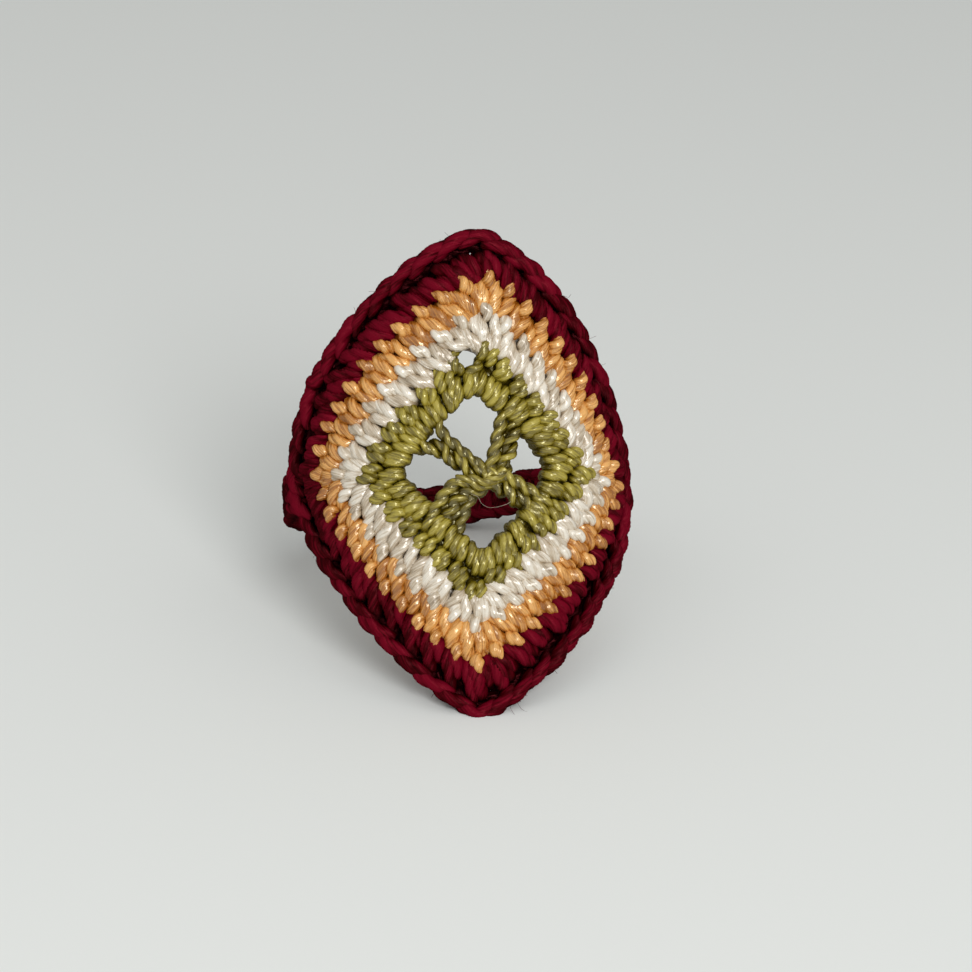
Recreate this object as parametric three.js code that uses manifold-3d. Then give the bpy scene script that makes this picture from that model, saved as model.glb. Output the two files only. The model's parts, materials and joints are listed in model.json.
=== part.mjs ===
import * as THREE from 'three';
import { mergeVertices } from 'three/addons/utils/BufferGeometryUtils.js';
import Module from 'manifold-3d';

// A crocheted finger ring: a square motif worked in rounds of coloured thread, turned point up and
// wrapped round the finger, and a narrow crocheted band that closes the ring behind the finger.
// The pattern is laid out flat as (across, up, lift): across runs round the finger, up runs along
// it and lift stands away from it. Each flat point is then wrapped on the finger.

// Driving dimensions, in millimetres
const fingerBore = 17.8;
const fabricThickness = 1.5;
const clearance = 0.3;
const stitchRelief = 0.15;
const edgeChamfer = 0.3;

// The open diamond in the middle, from its centre to a side corner and to its upper tip
const openHalfWidth = 4.05;
const openHalfHeight = 4.4;
const openRoundness = 1.03;
const openDrop = 0.2;

// Each row of stitches: how far it adds across and up, its stitches, the depth of its teeth, its
// roundness (1 is a straight diamond, 2 an ellipse) and how far its side corners drop
const oliveRow = { width: 2.45, height: 2.85, stitches: 28, tooth: 0.3, roundness: 1.2, drop: 0.5 };
const creamRow = { width: 2.0, height: 2.2, stitches: 36, tooth: 0.4, roundness: 1.16, drop: 0.55 };
const orangeRow = { width: 1.6, height: 1.5, stitches: 44, tooth: 0.5, roundness: 1.22, drop: 0.6 };
const burgundyRow = { width: 1.6, height: 1.2, stitches: 52, tooth: 0.2, roundness: 1.28, drop: 0.6 };
const edgeChainRadius = 0.4;
const edgeBeadDepth = 0.1;

// The olive lace cross: a knot, its posts, and the chain arcs that the olive row is worked over
const knotAcross = 0.25;
const knotUp = -0.5;
const knotRadius = 0.8;
const knotThickness = 1.2;
const postRadius = 0.42;
const arcRadius = 0.3;
const arcRecess = 0.1;
const arcClearance = 0.2;

// Where each post's cords meet the olive row, as shares of the way round from the right corner
const upperRightLandings = [0.12, 0.17];
const upperLeftLandings = [0.355, 0.415];
const lowerLeftLandings = [0.65];
const lowerRightLandings = [0.907];

// The band behind the finger, its sewn ends and the flat that it rests on
const bandThickness = 1.3;
const bandRootWidth = 3.0;
const bandBackWidth = 2.4;
const bandTaperLength = 6.0;
const bandBackDrop = 1.0;
const bandTwist = 0.09;
const joinLength = 3.4;
const joinWidth = 2.2;
const joinThickness = 0.5;
const joinClearance = 0.2;
const footDepth = 0.25;

// Mesh resolution
const bandStations = 36;
const endStep = 0.15;
const cordSides = 8;
const postSteps = 5;
const arcSteps = 14;
const arcPoints = 9;
const chainSides = 6;
const padSegments = 12;
const padRings = 8;
const leanSteps = 40;

const ringRadius = (fingerBore + fabricThickness) / 2;
const halfThickness = fabricThickness / 2;
// A step measured square to a side of the motif is this much longer along its diagonals
const diagonalShare = 1.3;

const wasm = await Module();
wasm.setup();

// Flat pattern to finger: the finger's axis is Z, and the motif faces -Y
function wrap(across, up, lift) {
  const angle = across / ringRadius;
  const radius = ringRadius + lift;
  return new THREE.Vector3(radius * Math.sin(angle), ringRadius - radius * Math.cos(angle), up);
}

function wrapGeometry(geometry) {
  const place = geometry.attributes.position;
  for (let i = 0; i < place.count; i += 1) {
    const point = wrap(place.getX(i), place.getY(i), place.getZ(i));
    place.setXYZ(i, point.x, point.y, point.z);
  }
  return geometry;
}

// One quarter of an outline, from a side corner to a tip
class QuarterOutline extends THREE.Curve {
  constructor(halfWidth, halfHeight, roundness) {
    super();
    this.halfWidth = halfWidth;
    this.halfHeight = halfHeight;
    this.power = 2 / roundness;
  }

  getPoint(t, target = new THREE.Vector2()) {
    const turn = t * Math.PI / 2;
    const across = this.halfWidth * Math.cos(turn) ** this.power;
    const up = this.halfHeight * Math.sin(turn) ** this.power;
    return target.set(across, up);
  }
}

// A point of an outline grown by a margin. The share runs from the right corner through the upper
// tip, and each side takes a quarter of it, as each side of the square has as many stitches.
function outlinePoint(outline, margin, share) {
  const turn = THREE.MathUtils.euclideanModulo(share, 1) * 4;
  const quarter = Math.floor(turn);
  const isUpper = quarter < 2;
  const isRight = quarter === 0 || quarter === 3;
  const towardsTip = quarter % 2 === 0;
  const along = towardsTip ? turn - quarter : quarter + 1 - turn;
  const reach = isUpper ? outline.halfHeight + outline.drop : outline.halfHeight - outline.drop;
  const curve = new QuarterOutline(outline.halfWidth + margin, reach + margin, outline.roundness);
  const point = curve.getPointAt(along);
  return new THREE.Vector2(isRight ? point.x : -point.x, (isUpper ? point.y : -point.y) - outline.drop);
}

function outlineRound(inside, row) {
  return {
    halfWidth: inside.halfWidth + row.width,
    halfHeight: inside.halfHeight + row.height,
    roundness: row.roundness,
    drop: row.drop,
    stitches: row.stitches,
    tooth: row.tooth,
  };
}

function outlineBetween(inside, outside) {
  return {
    halfWidth: (inside.halfWidth + outside.halfWidth) / 2,
    halfHeight: (inside.halfHeight + outside.halfHeight) / 2,
    roundness: (inside.roundness + outside.roundness) / 2,
    drop: (inside.drop + outside.drop) / 2,
    stitches: outside.stitches,
    tooth: 0,
  };
}

// A closed loop along an outline with two points a stitch: the tip of each tooth and its notch
function stitchLoop(outline, margin, tipLift, notchLift = tipLift) {
  const points = [];
  const count = outline.stitches * 2;
  for (let i = 0; i < count; i += 1) {
    const isTip = i % 2 === 0;
    const reach = margin + (isTip ? outline.tooth : -outline.tooth) / 2;
    const flat = outlinePoint(outline, reach, i / count);
    points.push(wrap(flat.x, flat.y, isTip ? tipLift : notchLift));
  }
  return points;
}

// A closed body whose section goes through the loops in turn and back to the first of them.
// Two loops of different counts are zipped by how far each has come round.
function zipLoops(loops) {
  const points = loops.flat();
  const index = [];
  let start = 0;
  loops.forEach((loop, k) => {
    const other = loops[(k + 1) % loops.length];
    const otherStart = k + 1 < loops.length ? start + loop.length : 0;
    let i = 0;
    let j = 0;
    while (i < loop.length || j < other.length) {
      const here = start + i % loop.length;
      const there = otherStart + j % other.length;
      if (j === other.length || (i < loop.length && (i + 1) * other.length <= (j + 1) * loop.length)) {
        i += 1;
        index.push(here, there, start + i % loop.length);
      } else {
        j += 1;
        index.push(here, there, otherStart + j % other.length);
      }
    }
    start += loop.length;
  });
  const geometry = new THREE.BufferGeometry().setFromPoints(points);
  geometry.setIndex(index);
  return geometry;
}

function toSolid(geometry) {
  const bare = geometry.clone();
  bare.deleteAttribute('normal');
  bare.deleteAttribute('uv');
  const merged = mergeVertices(bare, 1e-4);
  return new wasm.Manifold(new wasm.Mesh({
    numProp: 3,
    vertProperties: new Float32Array(merged.attributes.position.array),
    triVerts: new Uint32Array(merged.index.array),
  }));
}

function fromSolid(solid) {
  const mesh = solid.getMesh();
  const geometry = new THREE.BufferGeometry();
  geometry.setAttribute('position', new THREE.BufferAttribute(mesh.vertProperties, 3));
  geometry.setIndex(new THREE.BufferAttribute(mesh.triVerts, 1));
  return geometry;
}

// A round cord along a smooth curve through wrapped points
function cordGeometry(points, radius, steps) {
  const section = new THREE.Shape().absarc(0, 0, radius, 0, Math.PI * 2);
  return new THREE.ExtrudeGeometry(section, {
    steps,
    curveSegments: cordSides / 2,
    extrudePath: new THREE.CatmullRomCurve3(points),
  });
}

// The outlines where one row of stitches meets the next
const opening = {
  halfWidth: openHalfWidth,
  halfHeight: openHalfHeight,
  roundness: openRoundness,
  drop: openDrop,
  stitches: oliveRow.stitches,
  tooth: 0,
};
const oliveOutline = outlineRound(opening, oliveRow);
const creamOutline = outlineRound(oliveOutline, creamRow);
const orangeOutline = outlineRound(creamOutline, orangeRow);
const burgundyOutline = outlineRound(orangeOutline, burgundyRow);
const halfGap = clearance * diagonalShare / 2;
const edgeLift = halfThickness - edgeChamfer;

// A row of stitches between two outlines, crowned in the middle and toothed along its edges
function rowGeometry(inside, outside) {
  const crown = outlineBetween(inside, outside);
  const crownNotch = halfThickness - stitchRelief;
  return zipLoops([
    stitchLoop(inside, halfGap, -edgeLift),
    stitchLoop(inside, halfGap, edgeLift),
    stitchLoop(crown, 0, halfThickness, crownNotch),
    stitchLoop(outside, -halfGap, edgeLift),
    stitchLoop(outside, -halfGap, -edgeLift),
    stitchLoop(crown, 0, -halfThickness, -crownNotch),
  ]);
}

// The olive row holds the chain arcs in a channel along its inner edge
const arcMargin = (arcRecess + arcRadius) * diagonalShare;
const channelHalf = arcRadius + arcClearance;
const channelDepth = arcMargin + channelHalf * diagonalShare;
const lipLift = (channelHalf + halfThickness) / 2;

function oliveRowGeometry() {
  const crown = outlineBetween(opening, oliveOutline);
  const crownNotch = halfThickness - stitchRelief / 2;
  return zipLoops([
    stitchLoop(opening, 0, -lipLift),
    stitchLoop(opening, 0, -channelHalf),
    stitchLoop(opening, channelDepth, -channelHalf),
    stitchLoop(opening, channelDepth, channelHalf),
    stitchLoop(opening, 0, channelHalf),
    stitchLoop(opening, 0, lipLift),
    stitchLoop(crown, 0, halfThickness, crownNotch),
    stitchLoop(oliveOutline, -halfGap, edgeLift),
    stitchLoop(oliveOutline, -halfGap, -edgeLift),
    stitchLoop(crown, 0, -halfThickness, -crownNotch),
  ]);
}

// One chain arc round a corner of the opening, from one post to the next
function arcGeometry(cornerShare) {
  const perimeter = 4 * Math.hypot(openHalfWidth, openHalfHeight);
  const reach = 1 / 8 - clearance / (2 * perimeter);
  const points = [];
  for (let i = 0; i < arcPoints; i += 1) {
    const share = cornerShare - reach + 2 * reach * i / (arcPoints - 1);
    const flat = outlinePoint(opening, arcMargin, share);
    points.push(wrap(flat.x, flat.y, 0));
  }
  return cordGeometry(points, arcRadius, arcSteps);
}

function knotGeometry() {
  const geometry = new THREE.SphereGeometry(knotRadius, padSegments, padRings);
  geometry.scale(1, 1, knotThickness / (2 * knotRadius));
  geometry.translate(knotAcross, knotUp, 0);
  return wrapGeometry(geometry);
}

// A post of one or two cords from the knot to the places where they meet the olive row
function postGeometry(landings) {
  const knot = new THREE.Vector2(knotAcross, knotUp);
  const ends = landings.map((share) => outlinePoint(opening, -clearance * diagonalShare, share));
  const middle = ends.reduce((sum, end) => sum.add(end), new THREE.Vector2()).divideScalar(ends.length);
  const away = middle.clone().sub(knot).normalize();
  const start = knot.clone().addScaledVector(away, knotRadius + clearance);
  const cords = ends.map((end) => {
    const bend = start.clone().lerp(end, 0.5);
    const route = [start, bend, end].map((flat) => wrap(flat.x, flat.y, 0));
    return toSolid(cordGeometry(route, postRadius, postSteps));
  });
  return fromSolid(cords.reduce((joined, cord) => joined.add(cord)));
}

// The chain along the outer edge, a cord that swells at every stitch
const edgeChainMargin = (edgeChainRadius + clearance / 2) * diagonalShare;
const outerMargin = edgeChainMargin + edgeChainRadius * diagonalShare;
const outerHalfWidth = burgundyOutline.halfWidth + outerMargin;

function edgeChainGeometry() {
  const loops = [];
  for (let i = 0; i < chainSides; i += 1) {
    const turn = Math.PI - 2 * Math.PI * i / chainSides;
    const margin = edgeChainMargin + edgeChainRadius * diagonalShare * Math.cos(turn);
    const lift = edgeChainRadius * Math.sin(turn);
    const bead = 1 - edgeBeadDepth / edgeChainRadius;
    const edge = { ...burgundyOutline, tooth: edgeBeadDepth * Math.cos(turn) };
    loops.push(stitchLoop(edge, margin, lift, lift * bead));
  }
  return zipLoops(loops);
}

// The band runs on from the side corners round the back of the finger. Its ends are round about the
// line on which it swings, one end radius in from each end, so they clear the corners as it swings.
const bandRootUp = -burgundyRow.drop;
const bandEndRadius = bandRootWidth / 2;
const bandStart = outerHalfWidth + clearance;
const bandEnd = 2 * Math.PI * ringRadius - bandStart;

function bandHalfWidth(fromEnd) {
  const taper = THREE.MathUtils.smoothstep(fromEnd, 0, bandTaperLength);
  const plain = THREE.MathUtils.lerp(bandRootWidth, bandBackWidth, taper) / 2;
  const inRound = Math.min(fromEnd / bandEndRadius, 1);
  return plain * Math.sqrt(1 - (1 - inRound) ** 2);
}

function bandUp(across) {
  const turn = (across - Math.PI * ringRadius) / (Math.PI * ringRadius - bandStart);
  const fade = Math.cos(turn * Math.PI / 2);
  const slope = -bandTwist * ringRadius * Math.sin(across / ringRadius - Math.PI);
  return bandRootUp - bandBackDrop * fade ** 2 + slope * fade;
}

function bandRing(across) {
  const fromEnd = Math.min(across - bandStart, bandEnd - across);
  const wide = bandHalfWidth(fromEnd);
  const thick = bandThickness / 2;
  const chamfer = Math.min(edgeChamfer, wide / 2);
  const corners = [
    [wide, thick - chamfer], [wide - chamfer, thick], [chamfer - wide, thick], [-wide, thick - chamfer],
    [-wide, chamfer - thick], [chamfer - wide, -thick], [wide - chamfer, -thick], [wide, chamfer - thick],
  ];
  return corners.map(([up, lift]) => wrap(across, bandUp(across) + up, lift));
}

function bandGeometry() {
  const rings = [];
  const length = bandEnd - bandStart - 2 * endStep;
  for (let i = 0; i <= bandStations; i += 1) {
    // Stations gather towards the round ends
    const even = i / bandStations;
    const share = even - Math.sin(4 * Math.PI * even) / (8 * Math.PI);
    rings.push(bandRing(bandStart + endStep + length * share));
  }
  const sides = rings[0].length;
  const index = [];
  for (let ring = 0; ring < bandStations; ring += 1) {
    for (let side = 0; side < sides; side += 1) {
      const a = ring * sides + side;
      const b = ring * sides + (side + 1) % sides;
      index.push(a, b, a + sides, b, b + sides, a + sides);
    }
  }
  const last = bandStations * sides;
  for (let side = 1; side + 1 < sides; side += 1) {
    index.push(0, side + 1, side, last, last + side, last + side + 1);
  }
  const geometry = new THREE.BufferGeometry().setFromPoints(rings.flat());
  geometry.setIndex(index);
  return geometry;
}

// A pad of joining stitches on the outside of each side corner, over the end of the band
function joinGeometry(side) {
  const geometry = new THREE.SphereGeometry(1, padSegments, padRings);
  geometry.scale(joinLength / 2, joinWidth / 2, joinThickness / 2);
  const lift = bandThickness / 2 + joinClearance + joinThickness / 2;
  geometry.translate(side * (outerHalfWidth + clearance / 2), bandRootUp, lift);
  return wrapGeometry(geometry);
}

// The ring leans back until its lower tip and the back of its band stand on one level
function lowestPoint(geometry, lean) {
  const place = geometry.attributes.position;
  let lowest = Infinity;
  for (let i = 0; i < place.count; i += 1) {
    lowest = Math.min(lowest, place.getZ(i) * Math.cos(lean) - place.getY(i) * Math.sin(lean));
  }
  return lowest;
}

function restingLean(tip, back) {
  let upright = 0;
  let flat = Math.PI / 2;
  for (let i = 0; i < leanSteps; i += 1) {
    const lean = (upright + flat) / 2;
    if (lowestPoint(tip, lean) < lowestPoint(back, lean)) {
      upright = lean;
    } else {
      flat = lean;
    }
  }
  return upright;
}

const edgeChain = edgeChainGeometry();
const band = bandGeometry();
const lean = restingLean(edgeChain, band);
const floorLevel = lowestPoint(edgeChain, lean) + footDepth;

function cutFoot(geometry) {
  const size = 10 * ringRadius;
  const floor = new THREE.BoxGeometry(size, size, size);
  floor.translate(0, 0, floorLevel - size / 2);
  floor.rotateX(lean);
  return fromSolid(toSolid(geometry).subtract(toSolid(floor)));
}

// Thread colours
const olive = 0x8c7d33;
const cream = 0xd6c8b0;
const orange = 0xcf8a45;
const burgundy = 0x5a0b18;

const ring = new THREE.Group();
ring.rotation.x = -lean;

function addPiece(name, geometry, colour) {
  geometry.computeVertexNormals();
  const material = new THREE.MeshStandardMaterial({ color: colour, roughness: 0.7, metalness: 0 });
  const mesh = new THREE.Mesh(geometry, material);
  mesh.name = name;
  ring.add(mesh);
}

addPiece('centre_knot', knotGeometry(), olive);
addPiece('post_upper_right', postGeometry(upperRightLandings), olive);
addPiece('post_upper_left', postGeometry(upperLeftLandings), olive);
addPiece('post_lower_left', postGeometry(lowerLeftLandings), olive);
addPiece('post_lower_right', postGeometry(lowerRightLandings), olive);
['right', 'top', 'left', 'bottom'].forEach((corner, i) => {
  addPiece(`chain_arc_${corner}`, arcGeometry(i / 4), olive);
});
addPiece('olive_round', oliveRowGeometry(), olive);
addPiece('cream_round', rowGeometry(oliveOutline, creamOutline), cream);
addPiece('orange_round', rowGeometry(creamOutline, orangeOutline), orange);
addPiece('burgundy_border', rowGeometry(orangeOutline, burgundyOutline), burgundy);
addPiece('border_edge_chain', cutFoot(edgeChain), burgundy);
addPiece('finger_band', cutFoot(band), burgundy);
addPiece('band_join_right', joinGeometry(1), burgundy);
addPiece('band_join_left', joinGeometry(-1), burgundy);

// The origin is on the table, under the middle of the ring
ring.updateMatrixWorld(true);
const box = new THREE.Box3().setFromObject(ring, true);
const middle = box.getCenter(new THREE.Vector3());
const part = new THREE.Group();
part.position.set(-middle.x, -middle.y, -box.min.z);
part.add(ring);

export default part;
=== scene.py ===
import json
import math

import bpy
import numpy as np
from mathutils import Matrix, Vector


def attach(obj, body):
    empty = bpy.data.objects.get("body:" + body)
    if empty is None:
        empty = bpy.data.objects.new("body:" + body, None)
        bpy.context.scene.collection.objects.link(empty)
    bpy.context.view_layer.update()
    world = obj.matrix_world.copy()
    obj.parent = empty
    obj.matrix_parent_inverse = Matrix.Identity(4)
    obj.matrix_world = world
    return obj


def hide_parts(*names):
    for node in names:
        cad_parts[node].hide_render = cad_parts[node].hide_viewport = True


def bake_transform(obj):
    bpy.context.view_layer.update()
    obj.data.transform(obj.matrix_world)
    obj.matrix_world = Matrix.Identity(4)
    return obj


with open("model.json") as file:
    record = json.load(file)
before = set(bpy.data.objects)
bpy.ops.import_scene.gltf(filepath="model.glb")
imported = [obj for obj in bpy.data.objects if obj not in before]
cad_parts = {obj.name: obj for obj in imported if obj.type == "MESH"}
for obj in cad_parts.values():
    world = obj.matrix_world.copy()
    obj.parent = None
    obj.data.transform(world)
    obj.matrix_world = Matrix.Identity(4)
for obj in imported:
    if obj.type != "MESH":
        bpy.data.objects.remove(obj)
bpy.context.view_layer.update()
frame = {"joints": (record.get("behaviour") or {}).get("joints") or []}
random = np.random.default_rng(7)

# A crocheted finger ring, built stitch by stitch from plied thread. Sizes are in millimetres.
# The pattern is laid out flat as (across, up, lift): across runs round the finger, up runs along
# it and lift stands away from it. Each flat point is then wrapped on the finger.

# The finger, the fabric and how far the ring leans back
FINGER_BORE = 17.8
FABRIC_THICKNESS = 1.5
RING_RADIUS = (FINGER_BORE + FABRIC_THICKNESS) / 2
LEAN = math.radians(28.305)
MM = 0.001

# The thread: its two plies, the share of its radius that one ply takes up, the length of one turn of
# its twist, its least radius, and how finely its surface is drawn
PLIES = 2
PLY_SHARE = 0.80
TWIST_LENGTH = 1.9
LEAST_RADIUS = 0.004
SIDES = 12
STEP = 0.11
LEAST_RINGS = 6

# The tone of the thread: how much single threads differ, and the level that they differ from. Threads get
# painted shade in the gaps between stitches, near the middle of the fabric's thickness, where shade falls.
TONE_SPREAD = 0.35
TONE_LEVEL = -0.42
FABRIC_MIDDLE = -0.05
GAP_REACH = 0.55
PAINTED_GAP_SHADE = 0.6

# Each thread takes its fibres from another place in a pattern of this length
FIBRE_PATTERN = 60

# Hand work: how far a stitch strays from its place, the part of that for across, up and lift, and how
# much stitches differ in thickness
LOOSEN = 0.03
STRAY_PARTS = np.array([1, 1, 0.7])
RADIUS_SPREAD = 0.07

# Where each round of stitches ends: its right, upper, left and lower corners, and the roundness of the
# four sides between them
OPENING = ((4.17, 0.3), (-0.24, 4.3), (-3.95, 0.15), (0.24, -4.3), (1.13, 1.1, 1.05, 1.1))
OLIVE_EDGE = ((6.7, -0.5), (1.0, 6.95), (-6.3, 0.2), (-0.5, -6.95), (1.07, 1.3, 1.1, 1.06))
CREAM_EDGE = ((7.85, -0.75), (0.8, 9.05), (-7.9, 0.35), (-0.6, -8.5), (1.13, 1.27, 1.26, 1.21))
ORANGE_EDGE = ((9.3, -1.2), (1.15, 10.85), (-9.5, 0.45), (-0.6, -10.6), (1.22, 1.39, 1.2, 1.2))
BURGUNDY_EDGE = ((10.8, -1.5), (0.8, 12.4), (-11.7, 0.1), (-0.6, -12.65), (1.335, 1.38, 1.15, 1.215))
OUTER_EDGE = ((11.5, -1.7), (0.7, 13.2), (-12.45, 0.05), (-0.6, -13.5), (1.35, 1.375, 1.145, 1.22))

# Small gaps in the fabric: across, up and radius
GAPS = [(-0.24, 6.37, 0.43), (0.34, 12.15, 0.03), (-6.94, 7.57, 0.03), (-9.49, 5.08, 0.04)]

# Stitches in each round
OLIVE_WRAPS = 58
OLIVE_STITCHES = 28
CREAM_STITCHES = 36
ORANGE_STITCHES = 44
BURGUNDY_STITCHES = 48

# The band behind the finger
BAND_START = 13.235
BAND_END = 2 * math.pi * RING_RADIUS - BAND_START
BAND_ROOT_UP = -0.6
BAND_ROOT_WIDTH = 3.0
BAND_BACK_WIDTH = 2.4
BAND_TAPER = 6.0
BAND_BACK_DROP = 1.0
BAND_TWIST = 0.09
BAND_STITCHES = 24
HINGE_ACROSS = BAND_START + BAND_ROOT_WIDTH / 2


# Placing the ring in the row frame

def unit(vectors):
    """The same directions, each of length 1."""
    return vectors / np.maximum(np.linalg.norm(vectors, axis=-1, keepdims=True), 1e-9)


def ring_point(across, up, lift):
    """A flat point wrapped on the finger, in the ring's own frame: the finger along Z, the motif at -Y."""
    angle = across / RING_RADIUS
    radius = RING_RADIUS + lift
    return np.stack([radius * np.sin(angle), RING_RADIUS - radius * np.cos(angle), up + 0 * lift], -1)


def lean_back(points):
    """A vector or point of the ring's frame, turned as the ring leans."""
    x, y, z = np.moveaxis(np.asarray(points, float), -1, 0)
    along = y * math.cos(LEAN) + z * math.sin(LEAN)
    above = z * math.cos(LEAN) - y * math.sin(LEAN)
    return np.stack([x, along, above], -1)


# The ring is set down so that the two ends of its band lie on the hinge
hinge = next(joint for joint in frame["joints"] if joint["name"] == "band_swing")
hinge_place = np.array(hinge["pos_m"]) / MM
hinge_in_ring = ring_point(HINGE_ACROSS, BAND_ROOT_UP, 0.0) * np.array([0.0, 1.0, 1.0])
RING_ORIGIN = hinge_place - lean_back(hinge_in_ring)


def row_point(ring_points):
    """Ring frame in millimetres to row frame in metres, pressed flat where it meets the table."""
    points = lean_back(ring_points) + RING_ORIGIN
    points[..., 2] = np.maximum(points[..., 2], 0.0)
    return points * MM


class Outline:
    """The closed edge of a round. A share runs from 0 at the right corner, over the top, to 1."""

    def __init__(self, right, top, left, bottom, roundness, samples=240):
        corners = np.array([right, top, left, bottom, right])
        diagonals = np.stack([corners[0] - corners[2], corners[3] - corners[1]], -1)
        middle = corners[2] + np.linalg.solve(diagonals, corners[3] - corners[2])[0] * diagonals[:, 0]
        turn = np.linspace(0, math.pi / 2, samples)[:, None]
        edge, share = [], []
        for quarter in range(4):
            here, ahead = corners[quarter] - middle, corners[quarter + 1] - middle
            power = 2 / roundness[quarter]
            side = middle + np.cos(turn) ** power * here + np.sin(turn) ** power * ahead
            length = np.concatenate([[0], np.cumsum(np.linalg.norm(np.diff(side, axis=0), axis=1))])
            edge.append(side[:-1])
            share.append((quarter + length[:-1] / length[-1]) / 4)
        self.share = np.concatenate(share)
        self.edge = np.concatenate(edge)

    def at(self, share):
        """The flat points at these shares of the way round."""
        share = np.mod(share, 1.0)
        return np.stack([np.interp(share, self.share, self.edge[:, k], period=1.0) for k in (0, 1)], -1)

    def axes(self, share, reach=0.012):
        """Unit vectors along the edge, counterclockwise, and out of it."""
        along = self.at(share + reach) - self.at(share - reach)
        along /= np.linalg.norm(along, axis=-1, keepdims=True)
        out = np.stack([along[..., 1], -along[..., 0]], -1)
        return along, out


opening = Outline(*OPENING)
olive_edge = Outline(*OLIVE_EDGE)
cream_edge = Outline(*CREAM_EDGE)
orange_edge = Outline(*ORANGE_EDGE)
burgundy_edge = Outline(*BURGUNDY_EDGE)
outer_edge = Outline(*OUTER_EDGE)


def clear_gaps(flat, radius):
    """Pushes threads aside where the fabric has a small gap, each thread to one side only."""
    for across, up, size in GAPS:
        away = flat[..., :2] - np.array([across, up])
        clearance = size + radius
        inside = np.linalg.norm(away, axis=-1) < clearance
        side = unit((away * inside[..., None]).sum(1))[:, None]
        beyond = (away * side).sum(-1)
        beside = np.linalg.norm(away - beyond[..., None] * side, axis=-1)
        reach = np.sqrt(np.maximum(clearance ** 2 - beside ** 2, 0))
        push = np.where(inside, np.maximum(reach - beyond, 0), 0)
        flat[..., :2] += push[..., None] * side
    return flat


# Plied thread

def smooth(controls, count):
    """A Catmull-Rom curve through control points, for many threads at once."""
    last = controls.shape[1] - 1
    start = 2 * controls[:, :1] - controls[:, 1:2]
    end = 2 * controls[:, -1:] - controls[:, -2:-1]
    padded = np.concatenate([start, controls, end], 1)
    place = np.linspace(0, last, count)
    index = np.minimum(place.astype(int), last - 1)
    t = (place - index)[None, :, None]
    a, b, c, d = (padded[:, index + k] for k in range(4))
    square = 2 * a - 5 * b + 4 * c - d
    cube = 3 * b - a - 3 * c + d
    return 0.5 * (2 * b + (c - a) * t + square * t ** 2 + cube * t ** 3)


def carried_frames(path):
    """The heading and two normals along each path, the normals carried along without turning."""
    tangent = unit(np.gradient(path, axis=1))
    normal = np.zeros_like(path)
    nearly_upright = np.abs(tangent[:, :1, 2:]) > 0.9
    helper = np.where(nearly_upright, [1.0, 0.0, 0.0], [0.0, 0.0, 1.0])
    normal[:, 0] = unit(np.cross(tangent[:, 0], helper[:, 0]))
    for i in range(1, path.shape[1]):
        before = normal[:, i - 1]
        normal[:, i] = unit(before - (before * tangent[:, i]).sum(-1, keepdims=True) * tangent[:, i])
    return tangent, normal, np.cross(tangent, normal)


def ply_profile(around, ply):
    """The outline of round plies side by side, as the distance from the middle of a thread of radius 1."""
    offset = 1 - ply
    turn = np.mod(around + math.pi / PLIES, 2 * math.pi / PLIES) - math.pi / PLIES
    return offset * np.cos(turn) + np.sqrt(ply ** 2 - (offset * np.sin(turn)) ** 2)


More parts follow.
